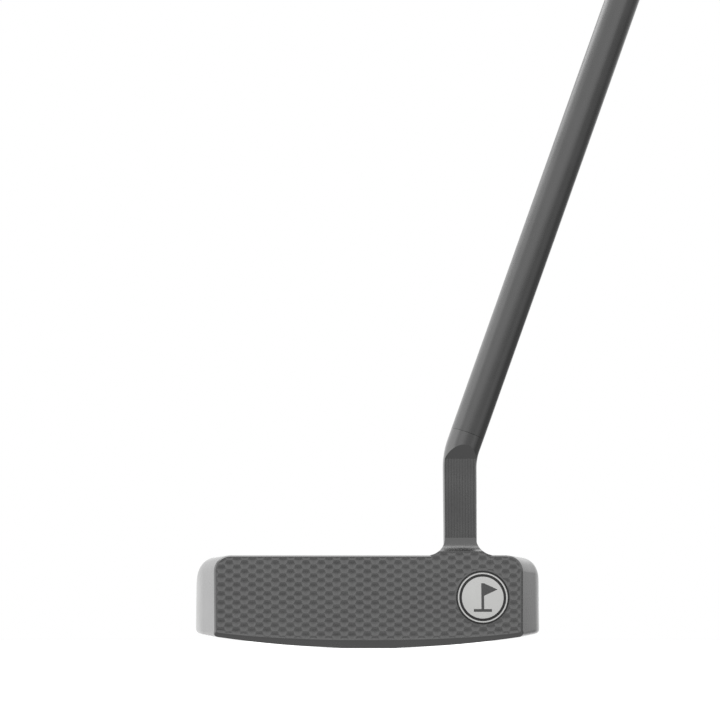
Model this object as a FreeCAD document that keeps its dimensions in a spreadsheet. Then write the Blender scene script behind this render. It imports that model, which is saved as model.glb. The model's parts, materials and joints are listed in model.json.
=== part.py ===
import FreeCAD, Part
import Sketcher
import math
import os

# Right-handed wide-body blade putter, 34 in long, with an over-hosel shaft on a milled neck.
# Millimetres.  +X runs from toe to heel, -Y points at the target, +Z is up.  The origin is the
# point of the ground under the middle of the leading edge, where the cambered sole rests.

SIZES = (
    # head
    ("loft", 3.0, "lean of the face from vertical, degrees"),
    ("head_height", 26.55, "topline above the ground"),
    ("face_half", 44.05, "half the width of the face at the leading edge"),
    ("toe_flare", 19.5, "toe side opens behind the face by this angle, degrees"),
    ("heel_flare", 18.5, "heel side opens behind the face by this angle, degrees"),
    ("toe_straight", 12.5, "where the toe side starts to bulge, behind the leading edge"),
    ("heel_straight", 15.0, "where the heel side starts to bulge"),
    ("toe_bulge", 57.0, "radius of the toe side's bulge"),
    ("heel_bulge", 40.0, "radius of the heel side's bulge"),
    ("bulge_end", 4.85, "flare left where a bulge meets the rear corner, degrees"),
    ("rear_back", 31.1, "where a rear corner meets the bowed back edge"),
    ("rear_bow", 7.0, "tilt of the bowed back edge where it meets a corner, degrees"),
    ("crown_start", 17.0, "where the bumpers start to fall away"),
    ("crown_radius", 20.0, "radius of that fall"),
    ("crown_end", 36.0, "end of that fall, just past the back of the head"),
    ("shoulder_radius", 4.6, "rounding of the top outer edges"),
    ("topline_back", 12.0, "back of the topline"),
    ("cavity_half", 31.0, "half the width of the cavity"),
    ("cavity_corner", 6.0, "corner radius of the cavity"),
    ("cavity_floor_fillet", 1.5, "fillet round the cavity floor"),
    ("flange_height", 7.2, "cavity floor above the ground"),
    ("rim_round", 0.7, "rounding of the cavity's rim"),
    ("sole_radius", 297.0, "heel to toe camber of the sole"),
    ("lead_height", 2.05, "bottom of the face at the middle"),
    ("lead_radius", 415.0, "heel to toe curve of the bottom of the face"),
    ("lead_tilt", 40.0, "bevel under the face, degrees from level"),
    ("trail_start", 24.0, "where the sole lifts towards the back"),
    ("trail_tilt", 9.0, "lift of the trailing sole, degrees"),
    ("keel_round", 1.4, "rounding between sole and sides"),
    ("edge_break", 0.35, "chamfer along the top and side edges of the face"),
    ("bevel_top", 4.35, "highest point of the bottom edge of the face, which has no chamfer"),
    ("cut_reach", 120.0, "how far a cut that goes right through is drawn"),
    # sight line
    ("line_width", 1.6, "width of the sight line"),
    ("line_front", 13.5, "front end of the sight line"),
    ("line_back", 31.2, "back end of the sight line"),
    ("line_depth", 0.5, "depth of its groove"),
    ("line_fill", 0.45, "thickness of the paint in it"),
    # badge
    ("badge_across", 32.85, "middle of the badge, from the middle of the face"),
    ("badge_height", 14.45, "middle of the badge, along the face"),
    ("badge_pocket", 7.7, "radius of its pocket"),
    ("badge_depth", 0.8, "depth of its pocket"),
    ("disc_radius", 7.6, "radius of the medallion"),
    ("disc_floor", 0.3, "thickness under the enamel"),
    ("disc_rise", 0.75, "thickness of its field and ridge"),
    ("ridge_outer", 7.15, "outside of the metal ridge"),
    ("ridge_inner", 6.75, "inside of the metal ridge"),
    ("field_radius", 6.0, "radius of the metal field"),
    ("enamel_rise", 0.62, "top of the black enamel"),
    ("motif_depth", 0.25, "depth of the flag inlay"),
    ("motif_height", 8.2, "height of the flag inlay"),
    ("motif_pole", 0.8, "width of the flag's pole"),
    ("motif_fly", 3.9, "length of the pennant"),
    ("motif_hoist", 3.6, "height of the pennant at the pole"),
    ("motif_foot", 2.6, "half the width of the flag's foot"),
    ("motif_sunk", 0.05, "flag inlay below the metal field"),
    # sole weights
    ("weight_across", 40.0, "weights, from the middle of the head"),
    ("weight_back", 17.5, "weights, behind the leading edge"),
    ("weight_radius", 6.5, "radius of a weight"),
    ("weight_height", 6.0, "height of a weight"),
    ("weight_gap", 0.05, "clearance round a weight"),
    ("weight_recess", 0.15, "weight below the sole's surface"),
    ("weight_chamfer", 0.5, "chamfer of a weight's rim"),
    ("socket_radius", 2.6, "hexagon socket, centre to corner"),
    ("socket_depth", 3.2, "depth of the socket"),
    # neck
    ("bar_across", 26.71, "axis of the neck bar, from the middle of the head"),
    ("bar_back", 6.2, "axis of the neck bar and shaft, behind the leading edge"),
    ("bar_radius", 4.86, "radius of the neck bar"),
    ("foot_joint", 27.75, "where the neck sits on the head"),
    ("foot_low", 26.61, "where the flared foot rises from the topline"),
    ("foot_root", 21.6, "where the foot is drawn from, inside the head"),
    ("foot_top", 31.75, "top of the flared foot"),
    ("foot_lap", 0.75, "how far the foot is drawn on up the bar"),
    ("foot_half", 4.5, "half the width of the foot at its top"),
    ("foot_fillet", 5.2, "radius of the foot's sides"),
    ("foot_back", 11.2, "back of the foot"),
    ("flat_back", 4.2, "milled front flat, behind the leading edge"),
    ("flat_top", 54.75, "top of the front flat"),
    ("base_scoop", 6.5, "radius below the front flat"),
    ("arch_top", 58.45, "top of the slope by which the flat runs out of the bar"),
    ("flute_count", 11, "flutes on the front flat"),
    ("flute_pitch", 0.806, "distance between flutes"),
    ("flute_width", 0.46, "width of a flute"),
    ("flute_depth", 0.1, "depth of a flute"),
    ("elbow_height", 55.66, "where the neck bar meets the shaft's axis"),
    ("elbow_bend", 20.0, "bend radius of the elbow"),
    ("tenon_radius", 3.0, "radius of the neck's tenon"),
    ("tenon_length", 8.0, "length of the tenon"),
    ("spud_radius", 4.35, "radius of the spud inside the shaft"),
    ("spud_length", 28.0, "length of the spud"),
    ("seam_chamfer", 0.05, "chamfer of both rims at the seam"),
    # shaft
    ("shaft_lean", 19.886, "lean of the shaft from vertical, degrees"),
    ("shaft_foot", 6.58, "where the shaft's axis meets the ground"),
    ("seam_along", 66.1, "seam, along the shaft's axis from the ground"),
    ("tip_radius", 5.0, "outer radius of the shaft's tip"),
    ("wall", 0.5, "wall of the shaft"),
    ("taper_start", 266.0, "end of the parallel tip, along the axis"),
    ("taper_end", 580.0, "end of the taper, along the axis"),
    ("butt_radius", 7.35, "outer radius of the butt"),
    ("shaft_end", 861.1, "end of the shaft, along the axis"),
    # grip
    ("tape_wall", 0.25, "thickness of the grip tape"),
    ("tape_margin", 3.0, "tape inside the grip's mouth"),
    ("grip_round", 2.4, "rounding of the grip's end"),
    ("cap_radius", 8.4, "radius of the cap"),
    ("cap_stem_radius", 6.8, "radius of the cap's stem in the shaft"),
    ("cap_stem", 10.0, "length of the stem"),
    ("vent_radius", 1.5, "radius of the vent hole"),
)

# Grip cross-sections from the mouth to the end.  Each number gets an alias of the section's
# name and the field's, such as mouth_radius.
GRIP_FIELDS = (
    ("along", "distance along the axis"),
    ("radius", "radius of the round back"),
    ("behind", "centre of the round back, behind the shaft's axis"),
    ("flat", "flat front, from the axis"),
    ("corner", "radius of the corners beside the flat"),
)
GRIP_SECTIONS = (
    ("mouth", (596.6, 10.4, 0.2, 8.5, 3.0)),
    ("lower", (651.6, 10.9, 0.5, 8.7, 3.2)),
    ("middle", (726.6, 12.0, 1.0, 9.0, 3.8)),
    ("swell", (791.6, 13.2, 2.2, 9.2, 4.2)),
    ("crest", (836.6, 14.1, 3.2, 9.4, 4.5)),
    ("end", (863.6, 13.4, 2.4, 9.4, 4.2)),
)

NEAR = 0.01  # how close a point has to be to count as lying on a surface

doc = FreeCAD.newDocument("putter")
sheet = doc.addObject("Spreadsheet::Sheet", "Sizes")


def grip_sizes():
    """The grip's cross-sections as rows for the sheet."""
    for section, values in GRIP_SECTIONS:
        for (field, note), value in zip(GRIP_FIELDS, values):
            yield section + "_" + field, value, "grip, %s: %s" % (section, note)


def fill_sheet():
    for row, (alias, value, note) in enumerate((*SIZES, *grip_sizes()), start=1):
        sheet.set("A%d" % row, alias)
        sheet.set("B%d" % row, str(value))
        sheet.set("C%d" % row, note)
        sheet.setAlias("B%d" % row, alias)
    doc.recompute()


def value_of(expression):
    """The number that an expression over the sheet stands for."""
    return float(sheet.evalExpression(expression))


def new_body(label):
    body = doc.addObject("PartDesign::Body", label)
    body.Label = label
    return body


def place(body, across="0", back="0", up="0", axis=(0, 1, 0), angle="0"):
    """Binds the body's placement: a point, and a turn about one axis in degrees."""
    body.Placement = FreeCAD.Placement(
        FreeCAD.Vector(value_of(across), value_of(back), value_of(up)),
        FreeCAD.Rotation(FreeCAD.Vector(*axis), value_of(angle)),
    )
    body.setExpression("Placement.Base.x", across)
    body.setExpression("Placement.Base.y", back)
    body.setExpression("Placement.Base.z", up)
    body.setExpression("Placement.Rotation.Angle", angle)


def sketch_on(body, name, role, shift=("0", "0", "0"), axis=(1, 0, 0), angle="0"):
    """A sketch on one of the body's own planes, shifted and turned within that plane's axes."""
    plane = next(f for f in body.Origin.OriginFeatures if f.Role == role)
    sketch = body.newObject("Sketcher::SketchObject", name)
    sketch.AttachmentSupport = [(plane, "")]
    sketch.MapMode = "FlatFace"
    sketch.AttachmentOffset = FreeCAD.Placement(
        FreeCAD.Vector(*[value_of(e) for e in shift]),
        FreeCAD.Rotation(FreeCAD.Vector(*axis), value_of(angle)),
    )
    for letter, expression in zip("xyz", shift):
        if expression != "0":
            sketch.setExpression("AttachmentOffset.Base." + letter, expression)
    if angle != "0":
        sketch.setExpression("AttachmentOffset.Rotation.Angle", angle)
    return sketch


def bind(sketch, kind, where, expression):
    """Adds one dimension to the sketch and binds it to an expression."""
    index = sketch.addConstraint(Sketcher.Constraint(kind, *where, value_of(expression)))
    sketch.setExpression("Constraints[%d]" % index, expression)


def add_circle(sketch, radius, across="0", up="0"):
    centre = FreeCAD.Vector(value_of(across), value_of(up), 0)
    circle = Part.Circle(centre, FreeCAD.Vector(0, 0, 1), value_of(radius))
    index = sketch.addGeometry(circle, False)
    bind(sketch, "Radius", (index,), radius)
    bind(sketch, "DistanceX", (-1, 1, index, 3), across)
    bind(sketch, "DistanceY", (-1, 1, index, 3), up)


def arc_between(start, end, radius, side, major):
    """Arc from start to end; side +1 turns left on the way and -1 turns right."""
    chord = end - start
    left = FreeCAD.Vector(-chord.y, chord.x, 0).normalize()
    rise = math.sqrt(max(radius**2 - (chord.Length / 2) ** 2, 0.0))
    centre = (start + end) / 2 + left * (rise * side * (-1 if major else 1))
    first, last = (start, end) if side > 0 else (end, start)
    angles = [math.atan2(p.y - centre.y, p.x - centre.x) for p in (first, last)]
    circle = Part.Circle(centre, FreeCAD.Vector(0, 0, 1), radius)
    return Part.ArcOfCircle(circle, angles[0], angles[1])


def add_outline(sketch, corners, closed=True):
    """Lines and arcs through corners, each (across, up) or (across, up, radius, side[, major]).

    The third value and on belong to the stretch that starts at that corner.
    """
    points = [FreeCAD.Vector(value_of(c[0]), value_of(c[1]), 0) for c in corners]
    stretches = len(corners) if closed else len(corners) - 1
    ends = []
    for i in range(stretches):
        start, end, extra = points[i], points[(i + 1) % len(points)], corners[i][2:]
        if not extra:
            index = sketch.addGeometry(Part.LineSegment(start, end), False)
            ends.append((index, 1, 2))
            continue
        radius, side = extra[0], extra[1]
        arc = arc_between(start, end, value_of(radius), side, len(extra) > 2 and extra[2])
        index = sketch.addGeometry(arc, False)
        ends.append((index, 1, 2) if side > 0 else (index, 2, 1))
        bind(sketch, "Radius", (index,), radius)
    for i in range(stretches if closed else stretches - 1):
        here, after = ends[i], ends[(i + 1) % stretches]
        joint = Sketcher.Constraint("Coincident", here[0], here[2], after[0], after[1])
        sketch.addConstraint(joint)
    for i, corner in enumerate(corners):
        index, position = (ends[i][0], ends[i][1]) if i < stretches else (ends[-1][0], ends[-1][2])
        bind(sketch, "DistanceX", (-1, 1, index, position), corner[0])
        bind(sketch, "DistanceY", (-1, 1, index, position), corner[1])


def outline(body, name, role, corners, **where):
    sketch = sketch_on(body, name, role, **where)
    add_outline(sketch, corners)
    return sketch


def feature(body, kind, name, sketch):
    made = body.newObject("PartDesign::" + kind, name)
    made.Profile = sketch
    return made


def pad(body, name, sketch, length, both_ways=False, reverse=False):
    made = feature(body, "Pad", name, sketch)
    made.SideType = "Symmetric" if both_ways else "One side"
    made.Reversed = reverse
    made.setExpression("Length", length)
    doc.recompute()
    return made


def pocket(body, name, sketch, length=None, both_ways=False, reverse=False):
    """Cuts the sketch out of the body, right through where no length is given."""
    before = body.Tip.Shape.Volume
    made = feature(body, "Pocket", name, sketch)
    made.SideType = "Symmetric" if both_ways else "One side"
    made.Reversed = reverse
    if length is None:
        made.Type = "ThroughAll"
    else:
        made.setExpression("Length", length)
    doc.recompute()
    if not made.Shape.Volume < before - 1e-3:
        raise RuntimeError("%s cuts nothing from %s" % (name, body.Label))
    return made


def revolve(body, name, sketch):
    """Turns the sketch about its own vertical axis."""
    made = feature(body, "Revolution", name, sketch)
    made.ReferenceAxis = (sketch, ["V_Axis"])
    doc.recompute()
    return made


def edges_where(body, test):
    """Names of the body's edges whose sampled points all pass the test."""
    names = []
    for number, edge in enumerate(body.Tip.Shape.Edges, start=1):
        first, last = edge.ParameterRange
        points = [edge.valueAt(first + (last - first) * k / 4.0) for k in range(5)]
        if all(test(p) for p in points):
            names.append("Edge%d" % number)
    return names


def soften(body, name, kind, test, size):
    """A fillet or chamfer on the edges that pass the test."""
    names = edges_where(body, test)
    if not names:
        raise RuntimeError("%s finds no edge on %s" % (name, body.Label))
    base = body.Tip
    made = body.newObject("PartDesign::" + kind, name)
    made.Base = (base, names)
    made.setExpression("Radius" if kind == "Fillet" else "Size", size)
    doc.recompute()
    return made


# ---- points that several sub-parts share ----

LOFT = "(Sizes.loft * 1deg)"
LEAN = "(Sizes.shaft_lean * 1deg)"
BOW = "(Sizes.rear_bow * 1deg)"
SPUD_ACROSS = "Sizes.shaft_foot + Sizes.seam_along * sin" + LEAN
SPUD_UP = "Sizes.seam_along * cos" + LEAN
BEHIND_BAR = "-Sizes.bar_back"


def side_points(side):
    """Plan of one side, from the middle and the front: ends of its straight, bulge and corner.

    The last value is the corner's radius.
    """
    flare, rest = "(Sizes.%s_flare * 1deg)" % side, "(Sizes.bulge_end * 1deg)"
    straight, bulge = "Sizes.%s_straight" % side, "Sizes.%s_bulge" % side
    wide = "(Sizes.face_half + %s * tan%s)" % (straight, flare)
    bulge_wide = "(%s + %s * (cos%s - cos%s))" % (wide, bulge, rest, flare)
    bulge_back = "(%s + %s * (sin%s - sin%s))" % (straight, bulge, flare, rest)
    corner = "((Sizes.rear_back - %s) / (sin%s + cos%s))" % (bulge_back, rest, BOW)
    rear = "(%s + %s * (sin%s - cos%s))" % (bulge_wide, corner, BOW, rest)
    return (wide, straight), (bulge_wide, bulge_back), (rear, "Sizes.rear_back"), corner


HEEL_SIDE = side_points("heel")
TOE_SIDE = side_points("toe")
REAR_RADIUS = "((%s + %s) / 2 / sin%s)" % (HEEL_SIDE[2][0], TOE_SIDE[2][0], BOW)


def mirrored(point):
    """The same point on the toe side."""
    return "-" + point[0], point[1]


def foot_half_at(height):
    """Half the width of the flared foot at a height below its top."""
    return (
        "(Sizes.foot_half + Sizes.foot_fillet"
        " - sqrt(Sizes.foot_fillet^2 - (Sizes.foot_top - %s)^2))" % height
    )


def foot_side(sunk, low, high):
    """One side of the foot from bottom to top: half width, height, and its arc."""
    flare = ("Sizes.foot_fillet", -1)
    start = (foot_half_at(low), low) + flare
    if sunk:
        return (foot_half_at(low), sunk), start, (foot_half_at(high), high)
    return start, ("Sizes.foot_half", "Sizes.foot_top"), ("Sizes.foot_half", high)


def foot_corners(side):
    """Both sides of the foot in front view, up the heel side and down the toe side."""
    right = [("Sizes.bar_across + " + c[0],) + c[1:] for c in side]
    left = []
    for here, below in zip(reversed(side), list(reversed(side))[1:] + [()]):
        left.append(("Sizes.bar_across - " + here[0], here[1]) + below[2:])
    return right + left


def add_foot(body, side):
    """Front half of the foot drawn straight back, and its round back half."""
    front = outline(body, "foot_front_outline", "XZ_Plane", foot_corners(side))
    pad(body, "foot_front", front, "Sizes.bar_back", reverse=True)
    back = sketch_on(
        body, "foot_back_outline", "XZ_Plane", shift=("Sizes.bar_across", "0", BEHIND_BAR)
    )
    add_outline(back, (("0", side[0][1]),) + side + (("0", side[-1][1]),))
    revolve(body, "foot_back", back)


def clip_foot(body):
    """The foot's back is flat, in line with the back of the topline."""
    corners = (
        ("Sizes.foot_back", "Sizes.head_height"),
        ("Sizes.cut_reach", "Sizes.head_height"),
        ("Sizes.cut_reach", "Sizes.flat_top"),
        ("Sizes.foot_back", "Sizes.flat_top"),
    )
    sketch = outline(body, "foot_clip_outline", "YZ_Plane", corners)
    pocket(body, "foot_clip", sketch, "Sizes.cut_reach", both_ways=True)


# ---- head ----


def camber_cut(body, name, tilt, start, radius):
    """Cuts everything below a shallow arc that is swept along a line tilted front to back."""
    turn = "(%s * 1deg)" % tilt
    half, low = "(Sizes.cut_reach / 2)", "-Sizes.head_height"
    bent = "(%s / cos%s)" % (radius, turn)
    rise = "(%s + %s - sqrt(%s^2 - %s^2))" % (start, bent, bent, half)
    corners = (
        ("-" + half, low),
        (half, low),
        (half, rise, bent, -1),
        ("0", start, bent, -1),
        ("-" + half, rise),
    )
    sketch = outline(body, name + "_outline", "XZ_Plane", corners, angle=tilt)
    pocket(body, name, sketch, "Sizes.cut_reach", both_ways=True)


def head_outline(body):
    """Plan of the head: straight face, flared and bulging sides, round corners, bowed back."""
    heel_flare_end, heel_bulge_end, heel_rear, heel_corner = HEEL_SIDE
    toe_flare_end, toe_bulge_end, toe_rear, toe_corner = TOE_SIDE
    corners = (
        ("-Sizes.face_half", "0"),
        ("Sizes.face_half", "0"),
        heel_flare_end + ("Sizes.heel_bulge", 1),
        heel_bulge_end + (heel_corner, 1),
        heel_rear + (REAR_RADIUS, 1),
        mirrored(toe_rear) + (toe_corner, 1),
        mirrored(toe_bulge_end) + ("Sizes.toe_bulge", 1),
        mirrored(toe_flare_end),
    )
    return outline(body, "head_plan", "XY_Plane", corners)


def cut_crown(body):
    """The bumpers fall away towards the back in one arc, level where it starts."""
    run = "(Sizes.crown_end - Sizes.crown_start)"
    drop = "(Sizes.crown_radius - sqrt(Sizes.crown_radius^2 - %s^2))" % run
    corners = (
        ("Sizes.crown_start", "Sizes.head_height", "Sizes.crown_radius", -1),
        ("Sizes.crown_end", "Sizes.head_height - " + drop),
        ("Sizes.crown_end", "Sizes.cut_reach"),
        ("Sizes.crown_start", "Sizes.cut_reach"),
    )
    sketch = outline(body, "crown_outline", "YZ_Plane", corners)
    pocket(body, "crown", sketch, "Sizes.cut_reach", both_ways=True)


def cut_cavity(body):
    """Cavity behind the topline, open at the back, down to the flange."""
    half, front, corner = "Sizes.cavity_half", "Sizes.topline_back", "Sizes.cavity_corner"
    far = "Sizes.cut_reach"
    corners = (
        ("-%s + %s" % (half, corner), front),
        ("%s - %s" % (half, corner), front, corner, 1),
        (half, "%s + %s" % (front, corner)),
        (half, far),
        ("-" + half, far),
        ("-" + half, "%s + %s" % (front, corner), corner, 1),
    )
    sketch = outline(
        body, "cavity_plan", "XY_Plane", corners, shift=("0", "0", "Sizes.flange_height")
    )
    pocket(body, "cavity", sketch, "Sizes.head_height", reverse=True)


def cut_face(body):
    """The face leans back by the loft."""
    high = "Sizes.cut_reach"
    corners = (
        ("0", "0"),
        (high + " * tan" + LOFT, high),
        ("-" + high, high),
        ("-" + high, "-" + high),
        ("-%s * tan%s" % (high, LOFT), "-" + high),
    )
    sketch = outline(body, "face_outline", "YZ_Plane", corners)
    pocket(body, "face", sketch, "Sizes.cut_reach", both_ways=True)


def cut_badge_pocket(body):
    sketch = sketch_on(body, "badge_circle", "XZ_Plane", angle="-Sizes.loft")
    add_circle(sketch, "Sizes.badge_pocket", "Sizes.badge_across", "Sizes.badge_height")
    pocket(body, "badge_seat", sketch, "Sizes.badge_depth")


def sight_line_corners():
    half = "Sizes.line_width / 2"
    return (
        ("-" + half, "Sizes.line_front"),
        (half, "Sizes.line_front"),
        (half, "Sizes.line_back"),
        ("-" + half, "Sizes.line_back"),
    )


def cut_sight_line(body):
    level = ("0", "0", "Sizes.flange_height")
    sketch = outline(body, "sight_line_plan", "XY_Plane", sight_line_corners(), shift=level)
    pocket(body, "sight_line", sketch, "Sizes.line_depth")


def weight_seat(side):
    """Foot of a weight's axis on the sole, and the sole's tilt there."""
    across = "Sizes.weight_across"
    tilt = "asin(%s / Sizes.sole_radius) / 1deg" % across
    up = "Sizes.sole_radius * (1 - cos(asin(%s / Sizes.sole_radius)))" % across
    if side < 0:
        return "-" + across, up, tilt
    return across, up, "-(%s)" % tilt


def cut_weight_seat(body, name, side):
    across, up, tilt = weight_seat(side)
    sketch = sketch_on(
        body,
        name + "_circle",
        "XY_Plane",
        shift=(across, "Sizes.weight_back", up),
        axis=(0, 1, 0),
        angle=tilt,
    )
    add_circle(sketch, "Sizes.weight_radius + Sizes.weight_gap")
    deep = "Sizes.weight_height + Sizes.weight_recess"
    pocket(body, name, sketch, "(%s) * 2" % deep, both_ways=True)


def cut_tenon_hole(body):
    sketch = sketch_on(body, "tenon_circle", "XY_Plane", shift=("0", "0", "Sizes.foot_joint"))
    add_circle(sketch, "Sizes.tenon_radius", "Sizes.bar_across", "Sizes.bar_back")
    pocket(body, "tenon_hole", sketch, "Sizes.tenon_length")


def on_outside(p):
    """Points on the sides and the back of the head."""
    return abs(p.x) > value_of("Sizes.face_half") - NEAR or p.y > value_of("Sizes.crown_start")


def on_shoulder(p):
    """Top outer edges, from the face round the back; the face's own top edge is left out."""
    return on_outside(p) and p.z > value_of("Sizes.flange_height")


def on_keel(p):
    """Edges between the sole and the sides, behind the bevel under the face."""
    return on_outside(p) and p.z < value_of("Sizes.flange_height")


def on_cavity_wall(p):
    """Points on the upright walls of the cavity."""
    half, front = value_of("Sizes.cavity_half"), value_of("Sizes.topline_back")
    corner = value_of("Sizes.cavity_corner")
    if abs(p.x) < half - corner + NEAR:
        return abs(p.y - front) < NEAR
    if p.y > front + corner - NEAR:
        return abs(abs(p.x) - half) < NEAR
    reach = math.hypot(abs(p.x) - half + corner, p.y - front - corner)
    return abs(reach - corner) < NEAR


def on_cavity_floor(p):
    return on_cavity_wall(p) and abs(p.z - value_of("Sizes.flange_height")) < NEAR


def on_cavity_rim(p):
    return on_cavity_wall(p) and p.z > value_of("Sizes.flange_height + Sizes.cavity_corner")


def on_face_rim(p):
    """Top and side edges of the face, without the joint under the neck and the badge."""
    on_plane = abs(p.y - p.z * math.tan(math.radians(value_of("Sizes.loft")))) < NEAR
    joint = abs(p.z - value_of("Sizes.foot_joint")) < NEAR
    badge = math.hypot(
        p.x - value_of("Sizes.badge_across"), p.z - value_of("Sizes.badge_height")
    )
    in_badge = badge < value_of("Sizes.badge_pocket") + NEAR
    return on_plane and not joint and not in_badge and p.z > value_of("Sizes.bevel_top")


def make_head():
    body = new_body("head_body")
    pad(body, "block", head_outline(body), "Sizes.head_height")
    cut_crown(body)
    soften(body, "shoulders", "Fillet", on_shoulder, "Sizes.shoulder_radius")
    camber_cut(body, "sole", "0", "0", "Sizes.sole_radius")
    lead = "Sizes.lead_height * cos(Sizes.lead_tilt * 1deg)"
    camber_cut(body, "leading_edge", "-Sizes.lead_tilt", lead, "Sizes.lead_radius")
    trail = "-Sizes.trail_start * sin(Sizes.trail_tilt * 1deg)"
    camber_cut(body, "trailing_edge", "Sizes.trail_tilt", trail, "Sizes.sole_radius")
    add_foot(body, foot_side("Sizes.foot_root", "Sizes.foot_low", "Sizes.foot_joint"))
    clip_foot(body)
    soften(body, "keel", "Fillet", on_keel, "Sizes.keel_round")
    cut_cavity(body)
    soften(body, "cavity_floor", "Fillet", on_cavity_floor, "Sizes.cavity_floor_fillet")
    soften(body, "cavity_rim", "Fillet", on_cavity_rim, "Sizes.rim_round")
    cut_face(body)
    soften(body, "face_rim", "Chamfer", on_face_rim, "Sizes.edge_break")
    cut_badge_pocket(body)
    cut_sight_line(body)
    cut_weight_seat(body, "heel_weight_seat", 1)
    cut_weight_seat(body, "toe_weight_seat", -1)
    cut_tenon_hole(body)
    return body


# ---- neck ----


def bar_spine(body):
    """Path of the neck bar: straight up, round the elbow and along the shaft's axis."""
    reach = "(Sizes.elbow_bend * tan(Sizes.shaft_lean / 2 * 1deg))"
    sketch = sketch_on(body, "bar_path", "XZ_Plane", shift=("0", "0", BEHIND_BAR))
    corners = (
        ("Sizes.bar_across", "Sizes.foot_joint"),
        ("Sizes.bar_across", "Sizes.elbow_height - " + reach, "Sizes.elbow_bend", -1),
        (
            "Sizes.bar_across + %s * sin%s" % (reach, LEAN),
            "Sizes.elbow_height + %s * cos%s" % (reach, LEAN),
        ),
        (SPUD_ACROSS, SPUD_UP),
    )
    add_outline(sketch, corners, closed=False)
    return sketch


def seam_sketch(body, name):
    """A sketch square to the shaft's axis, at the seam."""
    return sketch_on(
        body,
        name,
        "XY_Plane",
        shift=(SPUD_ACROSS, "Sizes.bar_back", SPUD_UP),
        axis=(0, 1, 0),
        angle="Sizes.shaft_lean",
    )


def cut_front_flat(body):
    """The bar's front is milled flat: a concave foot below, and a slope up to an arch above."""
    joint_back = "Sizes.foot_joint * tan" + LOFT
    front = "-Sizes.topline_back"
    bar_front = "(Sizes.bar_back - Sizes.bar_radius)"
    steepness = "(Sizes.arch_top - Sizes.flat_top) / (Sizes.flat_back - %s)" % bar_front
    corners = (
        (front, "Sizes.head_height"),
        (joint_back, "Sizes.head_height"),
        (joint_back, "Sizes.foot_joint", "Sizes.base_scoop", 1),
        ("Sizes.flat_back", "Sizes.foot_top"),
        ("Sizes.flat_back", "Sizes.flat_top"),
        (front, "Sizes.flat_top + (Sizes.flat_back + Sizes.topline_back) * " + steepness),
    )
    sketch = outline(body, "front_flat_outline", "YZ_Plane", corners)
    pocket(body, "front_flat", sketch, "Sizes.cut_reach", both_ways=True)


def cut_flutes(body):
    """Fine upright flutes over the front flat."""
    first = "Sizes.bar_across - (Sizes.flute_count - 1) / 2 * Sizes.flute_pitch"
    half = "Sizes.flute_width / 2"
    corners = (
        ("%s - %s" % (first, half), "Sizes.flat_back"),
        ("%s + %s" % (first, half), "Sizes.flat_back"),
        (first, "Sizes.flat_back + Sizes.flute_depth"),
    )
    sketch = outline(
        body, "flute_outline", "XY_Plane", corners, shift=("0", "0", "Sizes.flat_top")
    )
    flute = pocket(body, "flute", sketch, "Sizes.flat_top - Sizes.foot_top")
    row = body.newObject("PartDesign::LinearPattern", "flutes")
    row.Originals = [flute]
    row.Direction = (sketch, ["H_Axis"])
    row.setExpression("Length", "(Sizes.flute_count - 1) * Sizes.flute_pitch")
    row.setExpression("Occurrences", "Sizes.flute_count")
    body.Tip = row
    doc.recompute()


def on_seam(p):
    """The rim of the neck's shoulder, on a circle of the shaft's own size."""
    across, up = value_of(SPUD_ACROSS), value_of(SPUD_UP)
    along = math.radians(value_of("Sizes.shaft_lean"))
    offset = FreeCAD.Vector(p.x - across, p.y - value_of("Sizes.bar_back"), p.z - up)
    rise = offset.x * math.sin(along) + offset.z * math.cos(along)
    return abs(rise) < NEAR and abs(offset.Length - value_of("Sizes.tip_radius")) < NEAR


def make_neck():
    body = new_body("neck")
    spine = bar_spine(body)
    base = sketch_on(body, "bar_circle", "XY_Plane", shift=("0", "0", "Sizes.foot_joint"))
    add_circle(base, "Sizes.bar_radius", "Sizes.bar_across", "Sizes.bar_back")
    shoulder = seam_sketch(body, "shoulder_circle")
    add_circle(shoulder, "Sizes.tip_radius")
    bar = feature(body, "AdditivePipe", "bar", base)
    bar.Spine = spine
    bar.Transformation = "Multisection"
    bar.Sections = [shoulder]
    doc.recompute()
    add_foot(body, foot_side(None, "Sizes.foot_joint", "Sizes.foot_top + Sizes.foot_lap"))
    clip_foot(body)
    cut_front_flat(body)
    cut_flutes(body)
    soften(body, "seam_rim", "Chamfer", on_seam, "Sizes.seam_chamfer")
    spud = seam_sketch(body, "spud_circle")
    add_circle(spud, "Sizes.spud_radius")
    pad(body, "spud", spud, "Sizes.spud_length")
    tenon = sketch_on(body, "tenon_circle", "XY_Plane", shift=("0", "0", "Sizes.foot_joint"))
    add_circle(tenon, "Sizes.tenon_radius", "Sizes.bar_across", "Sizes.bar_back")
    pad(body, "tenon", tenon, "Sizes.tenon_length", reverse=True)


# ---- badge, sight line and sole weights ----


def on_face(body, across, height):
    """Places a body on the face plane, its own +Z pointing out of the face."""
    up = "(%s) * cos%s" % (height, LOFT)
    back = "(%s) * sin%s" % (height, LOFT)
    place(body, across, back, up, axis=(1, 0, 0), angle="90 - Sizes.loft")


def ring_corners(inner, outer, low, high):
    return ((inner, low), (outer, low), (outer, high), (inner, high))


def make_ring(label, inner, outer, low, high):
    """A plain ring about the body's own Z."""
    body = new_body(label)
    sketch = outline(body, label + "_section", "XZ_Plane", ring_corners(inner, outer, low, high))
    revolve(body, label + "_ring", sketch)
    return body


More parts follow.
